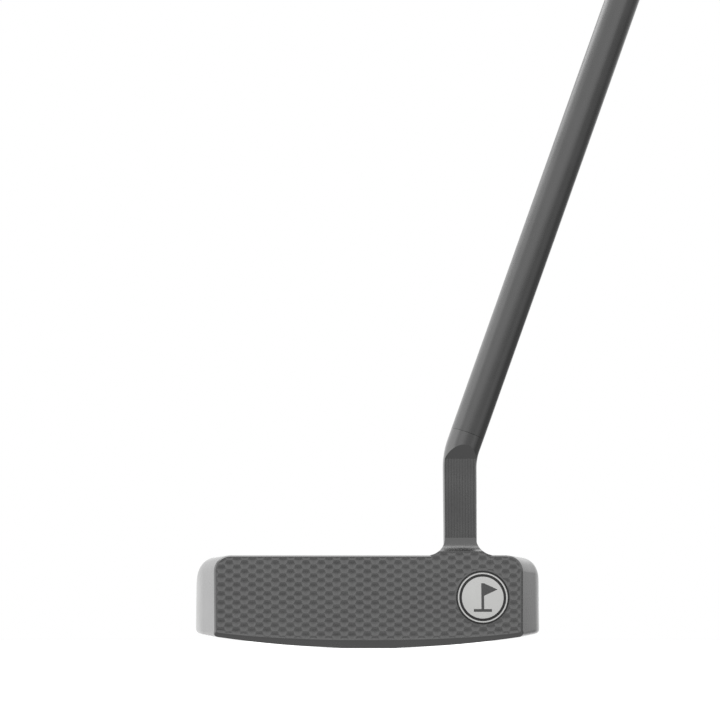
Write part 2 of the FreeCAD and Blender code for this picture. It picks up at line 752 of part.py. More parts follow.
def flag_corners():
    """A generic flagstick: foot, pole and pennant in one outline."""
    half = "Sizes.motif_pole / 2"
    top = "Sizes.motif_height / 2"
    fly = "%s + Sizes.motif_fly" % half
    knee = "-%s + Sizes.motif_pole" % top
    return (
        ("-Sizes.motif_foot", "-" + top),
        ("Sizes.motif_foot", "-" + top),
        ("Sizes.motif_foot", knee),
        (half, knee),
        (half, "%s - Sizes.motif_hoist" % top),
        (fly, "%s - Sizes.motif_hoist / 2" % top),
        (half, top),
        ("-" + half, top),
        ("-" + half, knee),
        ("-Sizes.motif_foot", knee),
    )


BADGE_FLOOR = "-Sizes.badge_depth"


def make_medallion():
    """Metal disc: a thin floor, a round field and a ridge, with the flag sunk in the field."""
    body = new_body("badge_medallion")
    level = BADGE_FLOOR + " + "
    corners = (
        ("0", BADGE_FLOOR),
        ("Sizes.disc_radius", BADGE_FLOOR),
        ("Sizes.disc_radius", level + "Sizes.disc_floor"),
        ("Sizes.ridge_outer", level + "Sizes.disc_floor"),
        ("Sizes.ridge_outer", level + "Sizes.disc_rise"),
        ("Sizes.ridge_inner", level + "Sizes.disc_rise"),
        ("Sizes.ridge_inner", level + "Sizes.disc_floor"),
        ("Sizes.field_radius", level + "Sizes.disc_floor"),
        ("Sizes.field_radius", level + "Sizes.disc_rise"),
        ("0", level + "Sizes.disc_rise"),
    )
    sketch = outline(body, "medallion_section", "XZ_Plane", corners)
    revolve(body, "medallion", sketch)
    field = ("0", "0", level + "Sizes.disc_rise")
    flag = outline(body, "flag_outline", "XY_Plane", flag_corners(), shift=field)
    pocket(body, "flag", flag, "Sizes.motif_depth")
    on_face(body, "Sizes.badge_across", "Sizes.badge_height")


def make_badge_enamel():
    """Black enamel in the two round channels of the medallion, and the inlaid flag."""
    level = BADGE_FLOOR + " + "
    channels = (
        ("badge_enamel_inner", "Sizes.field_radius", "Sizes.ridge_inner"),
        ("badge_enamel_outer", "Sizes.ridge_outer", "Sizes.disc_radius"),
    )
    for label, inner, outer in channels:
        low, high = level + "Sizes.disc_floor", level + "Sizes.enamel_rise"
        ring = make_ring(label, inner, outer, low, high)
        on_face(ring, "Sizes.badge_across", "Sizes.badge_height")
    body = new_body("badge_flag_inlay")
    sunk = ("0", "0", level + "Sizes.disc_rise - Sizes.motif_depth")
    sketch = outline(body, "inlay_outline", "XY_Plane", flag_corners(), shift=sunk)
    pad(body, "inlay", sketch, "Sizes.motif_depth - Sizes.motif_sunk")
    on_face(body, "Sizes.badge_across", "Sizes.badge_height")


def make_sight_line():
    body = new_body("sight_line_fill")
    sunk = ("0", "0", "Sizes.flange_height - Sizes.line_depth")
    sketch = outline(body, "line_plan", "XY_Plane", sight_line_corners(), shift=sunk)
    pad(body, "line", sketch, "Sizes.line_fill")


def on_weight_rim(p):
    radius = math.hypot(p.x, p.y)
    return abs(radius - value_of("Sizes.weight_radius")) < NEAR


def make_weight(label, side):
    """Round sole weight with a hexagon socket, square to the sole where it sits."""
    body = new_body(label)
    sunk = ("0", "0", "Sizes.weight_recess")
    disc = sketch_on(body, label + "_circle", "XY_Plane", shift=sunk)
    add_circle(disc, "Sizes.weight_radius")
    pad(body, label + "_slug", disc, "Sizes.weight_height")
    soften(body, label + "_rims", "Chamfer", on_weight_rim, "Sizes.weight_chamfer")
    hexagon = []
    for k in range(6):
        turn = "(%d * 1deg)" % (60 * k)
        hexagon.append(("Sizes.socket_radius * cos" + turn, "Sizes.socket_radius * sin" + turn))
    socket = outline(body, label + "_hexagon", "XY_Plane", hexagon, shift=sunk)
    pocket(body, label + "_socket", socket, "Sizes.socket_depth", reverse=True)
    across, up, tilt = weight_seat(side)
    place(body, across, "Sizes.weight_back", up, axis=(0, 1, 0), angle=tilt)


# ---- shaft and grip, each drawn along its own +Z, which is the shaft's axis ----


def on_shaft(body):
    place(body, "Sizes.shaft_foot", "Sizes.bar_back", "0", angle="Sizes.shaft_lean")


def make_shaft():
    """Steel tube: parallel tip over the neck's spud, one long taper and a parallel butt."""
    body = new_body("shaft")
    corners = (
        ("Sizes.tip_radius - Sizes.wall", "Sizes.seam_along"),
        ("Sizes.tip_radius - Sizes.seam_chamfer", "Sizes.seam_along"),
        ("Sizes.tip_radius", "Sizes.seam_along + Sizes.seam_chamfer"),
        ("Sizes.tip_radius", "Sizes.taper_start"),
        ("Sizes.butt_radius", "Sizes.taper_end"),
        ("Sizes.butt_radius", "Sizes.shaft_end"),
        ("Sizes.butt_radius - Sizes.wall", "Sizes.shaft_end"),
        ("Sizes.butt_radius - Sizes.wall", "Sizes.taper_end"),
        ("Sizes.tip_radius - Sizes.wall", "Sizes.taper_start"),
    )
    sketch = outline(body, "shaft_section", "XZ_Plane", corners)
    revolve(body, "tube", sketch)
    on_shaft(body)


def make_sleeves():
    """Epoxy between spud and shaft, and tape between shaft and grip."""
    bond_end = "Sizes.seam_along + Sizes.spud_length"
    inside = "Sizes.tip_radius - Sizes.wall"
    bond = make_ring("shaft_bond", "Sizes.spud_radius", inside, "Sizes.seam_along", bond_end)
    on_shaft(bond)
    tape = make_ring(
        "grip_tape",
        "Sizes.butt_radius",
        "Sizes.butt_radius + Sizes.tape_wall",
        "Sizes.mouth_along + Sizes.tape_margin",
        "Sizes.shaft_end",
    )
    on_shaft(tape)


def grip_section(body, name):
    """A round back and a flat front joined by rounded corners, square to the shaft."""
    along, radius, behind, flat, corner = ("Sizes.%s_%s" % (name, f) for f, _ in GRIP_FIELDS)
    sketch = sketch_on(body, "grip_" + name, "XY_Plane", shift=("0", "0", along))
    reach, inner = "(%s + %s - %s)" % (behind, flat, corner), "(%s - %s)" % (radius, corner)
    half = "sqrt(%s^2 - %s^2)" % (inner, reach)
    touch_across = "%s - %s * %s / %s" % (behind, reach, radius, inner)
    touch_up = "(%s * %s / %s)" % (half, radius, inner)
    corners = (
        ("-" + flat, "-" + half, corner, 1),
        (touch_across, "-" + touch_up, radius, 1, True),
        (touch_across, touch_up, corner, 1),
        ("-" + flat, half),
    )
    add_outline(sketch, corners)
    return sketch


def on_grip_end(p):
    return abs(p.z - value_of("Sizes.end_along")) < NEAR


def make_grip():
    """Pistol grip with a flat front, lofted down from its end and bored for the shaft."""
    body = new_body("grip")
    sections = [grip_section(body, name) for name, _ in reversed(GRIP_SECTIONS)]
    handle = feature(body, "AdditiveLoft", "handle", sections[0])
    handle.Sections = sections[1:]
    doc.recompute()
    soften(body, "grip_end", "Fillet", on_grip_end, "Sizes.grip_round")
    bore = sketch_on(body, "bore_circle", "XY_Plane", shift=("0", "0", "Sizes.mouth_along"))
    add_circle(bore, "Sizes.butt_radius + Sizes.tape_wall")
    pocket(body, "bore", bore, "Sizes.shaft_end - Sizes.mouth_along", reverse=True)
    seat = sketch_on(body, "cap_circle", "XY_Plane", shift=("0", "0", "Sizes.shaft_end"))
    add_circle(seat, "Sizes.cap_radius")
    pocket(body, "cap_seat", seat, "Sizes.cap_stem", reverse=True)
    on_shaft(body)


def make_grip_cap():
    """Cap in the end of the grip, with a stem in the shaft and a vent hole right through."""
    body = new_body("grip_cap")
    corners = (
        ("Sizes.vent_radius", "Sizes.shaft_end - Sizes.cap_stem"),
        ("Sizes.cap_stem_radius", "Sizes.shaft_end - Sizes.cap_stem"),
        ("Sizes.cap_stem_radius", "Sizes.shaft_end"),
        ("Sizes.cap_radius", "Sizes.shaft_end"),
        ("Sizes.cap_radius", "Sizes.end_along"),
        ("Sizes.vent_radius", "Sizes.end_along"),
    )
    sketch = outline(body, "cap_section", "XZ_Plane", corners)
    revolve(body, "cap", sketch)
    on_shaft(body)


def build():
    fill_sheet()
    make_head()
    make_neck()
    make_medallion()
    make_badge_enamel()
    make_sight_line()
    make_weight("heel_weight", 1)
    make_weight("toe_weight", -1)
    make_shaft()
    make_sleeves()
    make_grip()
    make_grip_cap()
    doc.recompute()


def write_parts():
    """Checks every object, then writes each sub-part to its own STEP file."""
    for item in doc.Objects:
        if "Invalid" in item.State or "Error" in item.State:
            raise RuntimeError("%s failed: %s" % (item.Label, item.State))
    bodies = doc.findObjects("PartDesign::Body")
    for body in bodies:
        if body.Shape.isNull() or not body.Shape.isValid() or not body.Shape.Solids:
            raise RuntimeError("%s has no valid solid" % body.Label)
    os.makedirs("parts", exist_ok=True)
    for body in bodies:
        body.Shape.exportStep("parts/%s.step" % body.Label)
        print("%-20s %10.1f mm3" % (body.Label, body.Shape.Volume))


build()
write_parts()
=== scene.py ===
import json
import math

import bpy
import numpy as np
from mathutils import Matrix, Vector
from mathutils.bvhtree import BVHTree
from mathutils.geometry import delaunay_2d_cdt


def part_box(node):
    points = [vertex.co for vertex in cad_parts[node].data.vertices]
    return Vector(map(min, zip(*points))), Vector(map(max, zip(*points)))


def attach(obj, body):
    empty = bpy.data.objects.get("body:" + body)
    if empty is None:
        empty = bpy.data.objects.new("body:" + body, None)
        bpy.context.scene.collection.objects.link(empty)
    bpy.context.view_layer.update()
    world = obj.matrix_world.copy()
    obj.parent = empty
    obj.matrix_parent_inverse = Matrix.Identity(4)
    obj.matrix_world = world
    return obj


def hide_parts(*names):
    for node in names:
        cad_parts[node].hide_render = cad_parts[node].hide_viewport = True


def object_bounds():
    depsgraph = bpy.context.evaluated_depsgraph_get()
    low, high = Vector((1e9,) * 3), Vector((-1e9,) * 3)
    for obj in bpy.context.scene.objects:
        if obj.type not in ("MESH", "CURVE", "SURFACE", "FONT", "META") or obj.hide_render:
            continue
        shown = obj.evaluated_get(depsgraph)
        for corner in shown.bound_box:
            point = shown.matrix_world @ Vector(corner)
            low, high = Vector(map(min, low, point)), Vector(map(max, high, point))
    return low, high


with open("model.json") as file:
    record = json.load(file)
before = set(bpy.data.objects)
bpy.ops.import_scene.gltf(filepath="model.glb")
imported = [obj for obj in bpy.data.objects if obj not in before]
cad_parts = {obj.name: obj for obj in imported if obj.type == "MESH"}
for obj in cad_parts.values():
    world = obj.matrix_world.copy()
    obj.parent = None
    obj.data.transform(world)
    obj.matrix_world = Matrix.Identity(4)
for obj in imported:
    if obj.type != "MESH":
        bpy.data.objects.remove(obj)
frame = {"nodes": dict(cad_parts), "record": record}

# Blade putter.  Metres, in the CAD frame: +X from toe to heel, -Y towards the target, +Z up.
cad_low, cad_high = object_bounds()

MM = 0.001
NODES = frame["nodes"]
MOUNTS = {mount["name"]: mount for mount in frame["record"]["mounts"]}

# Face milling: shallow bowls on a hexagonal lattice.
BOWL_PITCH = 2.555 * MM          # between neighbouring bowls
BOWL_DEPTH = 0.12 * MM
BOWL_RADIUS = 1.20 * MM          # where a bowl runs out, a little short of half the pitch
FIRST_COLUMN = 1.75 * MM         # from the toe edge of the face to the first column
FIRST_ROW = 3.55 * MM            # from the top edge down to its first bowl
BOWL_SHADE_ATTRIBUTE = "milling"              # attribute with each point's share of that depth, for the painted shade that darkens the bowls
GRID_PER_PITCH = 8               # mesh points from one bowl to the next
BORDER_CLEAR = 0.16 * MM         # no mesh points closer to the border than this
BORDER_FADE = 0.75 * MM          # the bowls fade out towards the border

# Grip: the outer surface of the CAD grip with a moulded pattern pressed into it.
GRIP_STEP = 0.7 * MM             # between rings of mesh points
GRIP_AROUND = 168                # mesh points in a ring
BORE_RADIUS = 7.6 * MM           # outside of the tape
CAP_RADIUS = 8.4 * MM
CAP_THICKNESS = 2.5 * MM
CAP_RIM = 0.25 * MM              # rubber left round the cap where the flat front is closest
END_ROUND = 2.4 * MM             # rounding at the end of the grip
LIP_ROUND = 0.9 * MM             # rounding at its mouth
PLAIN_MOUTH = 11.0 * MM          # smooth collar at the mouth
PLAIN_END = 16.0 * MM            # smooth collar at the end
COLLAR_FADE = 1.0 * MM
FLAT_ANGLE = 34.0                # the bars reach this far either side of the flat's middle, degrees
BAR_PITCH = 4.2 * MM             # grooves across the flat front
BACK_PITCH = 6.3 * MM            # slanted grooves round the back
BACK_TURNS = 3                   # how many pitches a slanted groove climbs in half a turn
GROOVE_DEPTH = 0.38 * MM
BAR_SHARE = 0.5                  # width of a bar's groove, as a share of its pitch
SLANT_SHARE = 0.34               # the same for a slanted groove
RAIL_AT = 7.0                    # groove along each corner, beyond the bars, degrees
RAIL_WIDTH = 8.0                 # its width, degrees
BARS_FADE = 4.0                  # the bars fade out over this angle, degrees
BACK_FROM, BACK_FULL = 14.0, 20.0    # slanted grooves start and are full, beyond the bars, degrees
GRIP_SKIN = 0.004 * MM           # the end rings are read this far inside the ends
ROUND_STEPS = 7                  # rings in a rounding
SMOOTHING = ((-2, 1), (-1, 2), (0, 3), (1, 2), (2, 1))   # neighbours round a ring and their weights
SHARP_EDGE = 50.0                # edges sharper than this stay sharp, degrees


NOISE_SPAN = (0.3, 0.7)          # most of a noise pattern's values lie in here
WELD = 0.0005 * MM               # points closer than this are one point
PROBE = 0.02 * MM                # step for measuring the bowls' slope
CHUNK = 2000                     # points measured against the border at a time
RAY_START = 40 * MM              # rays at the grip start this far from its axis
FLOOR_HALF = 6.0                 # half the width of the floor, metres


# ---------------------------------------------------------------- shader helpers

def shader(name, **constants):
    """A material and its principled shader, with the given sockets set."""
    material = bpy.data.materials.new(name)
    material.use_nodes = True
    tree = material.node_tree
    principled = next(node for node in tree.nodes if node.type == "BSDF_PRINCIPLED")
    for socket, value in constants.items():
        principled.inputs[socket.replace("_", " ")].default_value = value
    return material, tree, principled


def add_node(tree, kind, inputs=(), **settings):
    """A new node; inputs pairs a socket's index or name with a value or another socket."""
    node = tree.nodes.new(kind)
    for key, value in settings.items():
        setattr(node, key, value)
    for socket, value in inputs:
        if isinstance(value, bpy.types.NodeSocket):
            tree.links.new(value, node.inputs[socket])
        else:
            node.inputs[socket].default_value = value
    return node


def calc(tree, operation, *values):
    """The result of a math node."""
    return add_node(tree, "ShaderNodeMath", enumerate(values), operation=operation).outputs[0]


def dot(tree, vector, direction):
    """How far a vector reaches along a fixed direction."""
    inputs = ((0, vector), (1, direction))
    return add_node(tree, "ShaderNodeVectorMath", inputs, operation="DOT_PRODUCT").outputs["Value"]


def remap(tree, value, low, high, to_low, to_high, smooth=False):
    """value from low..high brought to to_low..to_high, and held there beyond."""
    node = add_node(
        tree, "ShaderNodeMapRange",
        (("Value", value), ("From Min", low), ("From Max", high),
         ("To Min", to_low), ("To Max", to_high)),
        interpolation_type="SMOOTHSTEP" if smooth else "LINEAR",
    )
    return node.outputs["Result"]


def position_mm(tree):
    """The point's place in the CAD frame, in millimetres."""
    place = add_node(tree, "ShaderNodeTexCoord").outputs["Object"]
    return vector_math(tree, "SCALE", (0, place), (3, 1 / MM))


def noise(tree, vector, scale, detail=2.0):
    """Soft noise from 0 to 1, with scale features per millimetre."""
    inputs = (("Vector", vector), ("Scale", scale), ("Detail", detail))
    return add_node(tree, "ShaderNodeTexNoise", inputs).outputs[0]


def tint(tree, factor, low, high):
    """A grey or colour between two, by a factor from 0 to 1."""
    ramp = add_node(tree, "ShaderNodeValToRGB", ((0, factor),))
    ramp.color_ramp.elements[0].color = (*low, 1)
    ramp.color_ramp.elements[1].color = (*high, 1)
    return ramp.outputs[0]


def bump(tree, height, distance, normal=None):
    """A surface normal tipped by a height map, distance millimetres deep."""
    inputs = [("Height", height), ("Distance", distance * MM), ("Strength", 1.0)]
    if normal is not None:
        inputs.append(("Normal", normal))
    return add_node(tree, "ShaderNodeBump", inputs).outputs[0]


def vector_math(tree, operation, *inputs):
    """The result of a vector math node; inputs are pairs of a socket's index and a value."""
    return add_node(tree, "ShaderNodeVectorMath", inputs, operation=operation).outputs[0]


def ring_distance(tree, vector, centre, axis):
    """Distance from an axis through centre, in millimetres."""
    offset = vector_math(tree, "SUBTRACT", (0, vector), (1, [c / MM for c in centre]))
    shift = vector_math(tree, "SCALE", (0, Vector(axis)), (3, dot(tree, offset, axis)))
    flat = vector_math(tree, "SUBTRACT", (0, offset), (1, shift))
    return add_node(tree, "ShaderNodeVectorMath", ((0, flat),), operation="LENGTH").outputs["Value"]


def tool_lines(tree, distance, pitch):
    """Fine cutter lines from 0 to 1, pitch millimetres apart along a distance."""
    turns = calc(tree, "MULTIPLY", distance, 2 * math.pi / pitch)
    return remap(tree, calc(tree, "SINE", turns), -1, 1, 0, 1)


# ---------------------------------------------------------------- materials

def finish_metal(tree, principled, low, high, rough_low, rough_high, grain, lines=None):
    """Tone, sheen and grain of a satin metal.  lines adds (height, depth in mm) of tool marks."""
    place = position_mm(tree)
    cloud = noise(tree, place, 0.11, 4.0)
    fleck = noise(tree, place, 5.0, 3.0)
    tree.links.new(tint(tree, cloud, low, high), principled.inputs["Base Color"])
    sheen = calc(tree, "MULTIPLY_ADD", cloud, 0.6, calc(tree, "MULTIPLY", fleck, 0.4))
    rough = remap(tree, sheen, *NOISE_SPAN, rough_low, rough_high)
    tree.links.new(rough, principled.inputs["Roughness"])
    normal = bump(tree, fleck, grain)
    if lines is not None:
        normal = bump(tree, lines[0], lines[1], normal)
    tree.links.new(normal, principled.inputs["Normal"])


def make_gunmetal(name, low, high):
    """Dark satin coating over milled steel: painted shade darkens the bowls; cutter lines on the cavity
    floor.
    """
    material, tree, principled = shader(name, Metallic=1.0)
    place = position_mm(tree)
    flange_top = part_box("sight_line_fill")[1].z / MM
    above = calc(tree, "SUBTRACT", dot(tree, place, (0, 0, 1)), flange_top)
    on_floor = remap(tree, calc(tree, "ABSOLUTE", above), 0.1, 0.3, 1, 0)
    swirl_centre = Vector((0, cad_high.y * 2.4, 0))
    lines = tool_lines(tree, ring_distance(tree, place, swirl_centre, (0, 0, 1)), 0.55)
    finish_metal(
        tree, principled, (low,) * 3, (high,) * 3, 0.22, 0.30, 0.0022,
        (calc(tree, "MULTIPLY", lines, on_floor), 0.006))
    # Painted shade: the base colour is darkened by each point's bowl depth, standing in for the dark
    # reflection in the bowls.
    milling = add_node(tree, "ShaderNodeAttribute", attribute_name=BOWL_SHADE_ATTRIBUTE).outputs["Fac"]
    shade = remap(tree, calc(tree, "POWER", milling, 2.0), 0, 1, 1.0, 0.82)
    metal = principled.inputs["Base Color"].links[0].from_socket
    painted_shade_colour = vector_math(tree, "SCALE", (0, metal), (3, shade))
    tree.links.new(painted_shade_colour, principled.inputs["Base Color"])
    return material


def make_shaft_metal():
    """The same coating on a ground tube: finer, with faint rings round the shaft."""
    material, tree, principled = shader("shaft_coating", Metallic=1.0)
    along = dot(tree, position_mm(tree), MOUNTS["butt_end"]["axis"])
    rings = add_node(
        tree, "ShaderNodeTexNoise", (("W", along), ("Scale", 2.5), ("Detail", 3.0)),
        noise_dimensions="1D").outputs[0]
    finish_metal(tree, principled, (0.126,) * 3, (0.144,) * 3, 0.25, 0.31, 0.0015, (rings, 0.001))
    return material


def make_turned_metal(name, node, low, high, rough, pitch):
    """Metal turned on a lathe: fine rings round the middle of its node."""
    material, tree, principled = shader(name, Metallic=1.0)
    corner_low, corner_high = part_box(node)
    axis = MOUNTS["strike_face"]["axis"] if node.startswith("badge") else (0, 0, 1)
    distance = ring_distance(tree, position_mm(tree), (corner_low + corner_high) / 2, axis)
    finish_metal(
        tree, principled, low, high, rough, rough + 0.08, 0.0012,
        (tool_lines(tree, distance, pitch), 0.0015))
    return material


def finish_skin(tree, principled, pattern, low, high, rough_low, rough_high, relief=None):
    """Tone and sheen that follow a pattern.  relief adds (height, depth in mm)."""
    tree.links.new(tint(tree, pattern, low, high), principled.inputs["Base Color"])
    sheen = remap(tree, pattern, *NOISE_SPAN, rough_low, rough_high)
    tree.links.new(sheen, principled.inputs["Roughness"])
    if relief is not None:
        tree.links.new(bump(tree, relief[0], relief[1]), principled.inputs["Normal"])


def make_enamel(name, low, high, rough):
    """Poured enamel: almost flat, with a slight orange peel."""
    material, tree, principled = shader(name, IOR=1.5)
    peel = noise(tree, position_mm(tree), 0.9, 2.0)
    finish_skin(tree, principled, peel, low, high, rough, rough + 0.07, (peel, 0.006))
    return material


def make_paint():
    """Matt white paint, rolled thin into its groove."""
    material, tree, principled = shader("line_paint", IOR=1.45)
    skin = noise(tree, position_mm(tree), 2.2, 3.0)
    finish_skin(
        tree, principled, skin, (0.70, 0.70, 0.68), (0.82, 0.82, 0.80), 0.42, 0.55, (skin, 0.01))
    return material


def make_rubber():
    """Black moulded rubber with a fine pebble skin and a dusting of lighter bloom."""
    material, tree, principled = shader("grip_rubber_skin", IOR=1.5)
    place = position_mm(tree)
    pebble = add_node(
        tree, "ShaderNodeTexVoronoi", (("Vector", place), ("Scale", 2.4)),
        feature="SMOOTH_F1").outputs["Distance"]
    bloom = noise(tree, place, 0.06, 5.0)
    finish_skin(tree, principled, bloom, (0.013,) * 3, (0.026,) * 3, 0.52, 0.66, (pebble, 0.05))
    return material


def make_cap_plastic():
    """Satin black moulded plastic with a spark-eroded grain."""
    material, tree, principled = shader("cap_plastic_skin", IOR=1.49)
    grain = noise(tree, position_mm(tree), 3.0, 4.0)
    finish_skin(tree, principled, grain, (0.016,) * 3, (0.024,) * 3, 0.36, 0.46, (grain, 0.02))
    return material


def make_epoxy():
    """Amber cured epoxy."""
    material, tree, principled = shader("cured_epoxy", IOR=1.56)
    flow = noise(tree, position_mm(tree), 0.4, 3.0)
    finish_skin(tree, principled, flow, (0.50, 0.38, 0.17), (0.64, 0.52, 0.28), 0.15, 0.30)
    return material


def make_tape():
    """Cream paper tape wound round the shaft."""
    material, tree, principled = shader("paper_tape", IOR=1.4)
    fibre = noise(tree, position_mm(tree), 1.5, 5.0)
    finish_skin(
        tree, principled, fibre, (0.66, 0.62, 0.50), (0.80, 0.77, 0.66), 0.75, 0.9, (fibre, 0.03))
    return material


def dress(node, material):
    """Gives a CAD node its finish."""
    slots = NODES[node].data.materials
    slots.clear()
    slots.append(material)


# ---------------------------------------------------------------- meshes

def read_mesh(node):
    """A CAD node's points, triangles and corner normals as arrays."""
    mesh = NODES[node].data
    points = np.array([vertex.co for vertex in mesh.vertices])
    triangles = np.array([polygon.vertices for polygon in mesh.polygons])
    normals = np.array([loop.normal for loop in mesh.loops]).reshape(-1, 3, 3)
    return points, triangles, normals


def weld(points, triangles):
    """Joins points that share one place, and says which triangles still have an area."""
    keys = np.round(points / WELD).astype(np.int64)
    _, first, place = np.unique(keys, axis=0, return_index=True, return_inverse=True)
    joined = place.reshape(-1)[triangles]
    a, b, c = joined.T
    return points[first], joined, (a != b) & (b != c) & (c != a)


def new_piece(name, points, faces, normals, material, node):
    """A piece on the root body that stands for a CAD node."""
    mesh = bpy.data.meshes.new(name)
    mesh.from_pydata(points.tolist(), [], faces.tolist())
    mesh.shade_smooth()
    if normals is not None:
        mesh.normals_split_custom_set(normals.reshape(-1, 3).tolist())
    mesh.materials.append(material)
    piece = bpy.data.objects.new(name, mesh)
    bpy.context.scene.collection.objects.link(piece)
    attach(piece, "root")
    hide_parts(node)
    return piece


def border_edges(triangles):
    """The edges that belong to one triangle only."""
    edges = np.vstack((triangles[:, (0, 1)], triangles[:, (1, 2)], triangles[:, (2, 0)]))
    _, first, count = np.unique(np.sort(edges, axis=1), axis=0, return_index=True, return_counts=True)
    return edges[first[count == 1]]


def border_distance(flat, starts, ends):
    """The distance of each flat point from the nearest border edge."""
    run = ends - starts
    share = ((flat[:, None] - starts) * run).sum(2) / (run * run).sum(1)
    nearest = starts + np.clip(share, 0, 1)[..., None] * run
    return np.sqrt(((flat[:, None] - nearest) ** 2).sum(2).min(1))


def inside(flat, starts, ends):
    """Whether each flat point lies inside the border, by counting the crossings of a ray."""
    x, y = flat[:, 0, None], flat[:, 1, None]
    spans = (starts[:, 1] > y) != (ends[:, 1] > y)
    rise = np.where(ends[:, 1] == starts[:, 1], 1, ends[:, 1] - starts[:, 1])
    cross = starts[:, 0] + (y - starts[:, 1]) * (ends[:, 0] - starts[:, 0]) / rise
    return (spans & (cross > x)).sum(1) % 2 == 1


def lattice(corner_low, corner_high, origin, steps):
    """Points of a triangular grid that fills a box; steps grid points make one bowl pitch."""
    pitch = BOWL_PITCH / steps
    across = pitch * math.sqrt(3) / 2
    left, right = ((corner[0] - origin[0]) / across for corner in (corner_low, corner_high))
    bottom, top = ((corner[1] - origin[1]) / pitch for corner in (corner_low, corner_high))
    columns = np.arange(math.floor(left), math.ceil(right) + 1)
    rows = np.arange(math.floor(bottom) - 1, math.ceil(top) + 2)
    column, row = np.meshgrid(columns, rows, indexing="ij")
    points = np.stack((origin[0] + column * across, origin[1] + (row + column % 2 / 2) * pitch), axis=-1)
    return points.reshape(-1, 2)


def bowl_depth(flat, centres, starts, ends):
    """How deep the milling is at each flat point."""
    depth = np.zeros(len(flat))
    for first in range(0, len(flat), CHUNK):
        part = flat[first:first + CHUNK]
        reach = np.sqrt(((part[:, None] - centres) ** 2).sum(2).min(1))
        bowl = np.clip(1 - (reach / BOWL_RADIUS) ** 2, 0, 1)
        edge = np.clip(border_distance(part, starts, ends) / BORDER_FADE, 0, 1)
        depth[first:first + CHUNK] = BOWL_DEPTH * bowl * edge * edge * (3 - 2 * edge)
    return depth


def make_milled_head(material):
    """The head with its flat face milled into bowls; all else is the CAD surface."""
    points, triangles, normals = read_mesh("head_body")
    normal = np.array(MOUNTS["strike_face"]["axis"])
    normal /= np.linalg.norm(normal)
    across = np.array((1.0, 0.0, 0.0))
    upward = np.cross(across, normal)
    upward *= np.sign(upward[2])
    on_plane = (np.abs((points - MOUNTS["strike_face"]["pos_m"]) @ normal) < 0.01 * MM)[triangles].all(1)
    facing = (normals @ normal > 0.9999).all(1)
    on_face = on_plane & facing
    points, triangles, solid = weld(points, triangles)
    on_face &= solid
    face_offset = (points[triangles[on_face].reshape(-1)] @ normal).mean()

    border = border_edges(triangles[on_face])
    ids, local = np.unique(border, return_inverse=True)
    border = local.reshape(-1, 2)
    rim = np.stack((points[ids] @ across, points[ids] @ upward), axis=1)
    starts, ends = rim[border[:, 0]], rim[border[:, 1]]
    top_edge = np.quantile(rim[:, 1][rim[:, 0] < 0], 0.999)
    origin = (rim[:, 0].min() + FIRST_COLUMN, top_edge - FIRST_ROW)
    fine = lattice(rim.min(0), rim.max(0), origin, GRID_PER_PITCH)
    fine = fine[inside(fine, starts, ends)]
    fine = fine[border_distance(fine, starts, ends) > BORDER_CLEAR]
    centres = lattice(rim.min(0), rim.max(0), origin, 1)

    scale = 1 / MM
    flat = [Vector(point) for point in np.vstack((rim, fine)) * scale]
    out = delaunay_2d_cdt(flat, border.tolist(), [], 0, 1e-7)
    made = np.array([tuple(point) for point in out[0]]) / scale
    patches = np.array([face for face in out[2] if len(face) == 3])
    patches = patches[inside(made[patches].mean(1), starts, ends)]
    a, b, c = (made[patches[:, corner]] for corner in range(3))
    turn = (b - a)[:, 0] * (c - a)[:, 1] - (b - a)[:, 1] * (c - a)[:, 0]
    outward = np.cross(across, upward) @ normal
    patches[turn * outward < 0] = patches[turn * outward < 0][:, ::-1]

    depth = bowl_depth(made, centres, starts, ends)
    slope = []
    for shift in np.array(((PROBE, 0), (0, PROBE))):
        ahead = bowl_depth(made + shift, centres, starts, ends)
        behind = bowl_depth(made - shift, centres, starts, ends)
        slope.append((ahead - behind) / (2 * PROBE))
    face_points = (
        made[:, :1] * across + made[:, 1:] * upward + (face_offset - depth)[:, None] * normal)
    tipped = normal + slope[0][:, None] * across + slope[1][:, None] * upward
    tipped /= np.linalg.norm(tipped, axis=1)[:, None]
    rim_count = len(rim)
    for new, old in enumerate(out[3]):
        fixed = [index for index in old if index < rim_count]
        if fixed:
            face_points[new] = points[ids[fixed[0]]]

    keep = solid & ~on_face
    all_points = np.vstack((points, face_points))
    all_faces = np.vstack((triangles[keep], patches + len(points)))
    all_normals = np.vstack((normals[keep], tipped[patches]))
    all_points, all_faces, solid = weld(all_points, all_faces)
    head = new_piece(
        "head_milled", all_points, all_faces[solid], all_normals[solid], material,
        "head_body")
    sunk = face_offset - all_points @ normal
    # Each point's share of the bowl depth, stored for the painted shade in the bowls.
    bowl_shade_shares = np.zeros(len(all_points))
    near = np.flatnonzero((sunk > 0) & (sunk < 1.01 * BOWL_DEPTH))
    seen = np.stack((all_points[near] @ across, all_points[near] @ upward), axis=1)
    sunk_share = bowl_depth(seen, centres, starts, ends) / BOWL_DEPTH
    bowl_shade_shares[near] = np.where(inside(seen, starts, ends), sunk_share, 0)
    head.data.attributes.new(BOWL_SHADE_ATTRIBUTE, "FLOAT", "POINT").data.foreach_set("value", bowl_shade_shares)


def groove(phase, share):
    """A smooth groove from 0 to 1, once in each whole phase and over a share of it."""
    off = np.abs(phase - np.round(phase)) / (share / 2)
    return np.where(off < 1, 0.5 + 0.5 * np.cos(math.pi * np.clip(off, 0, 1)), 0)


def ramp(value, low, high):
    """A smooth step from 0 at low to 1 at high."""
    share = np.clip((value - low) / (high - low), 0, 1)
    return share * share * (3 - 2 * share)


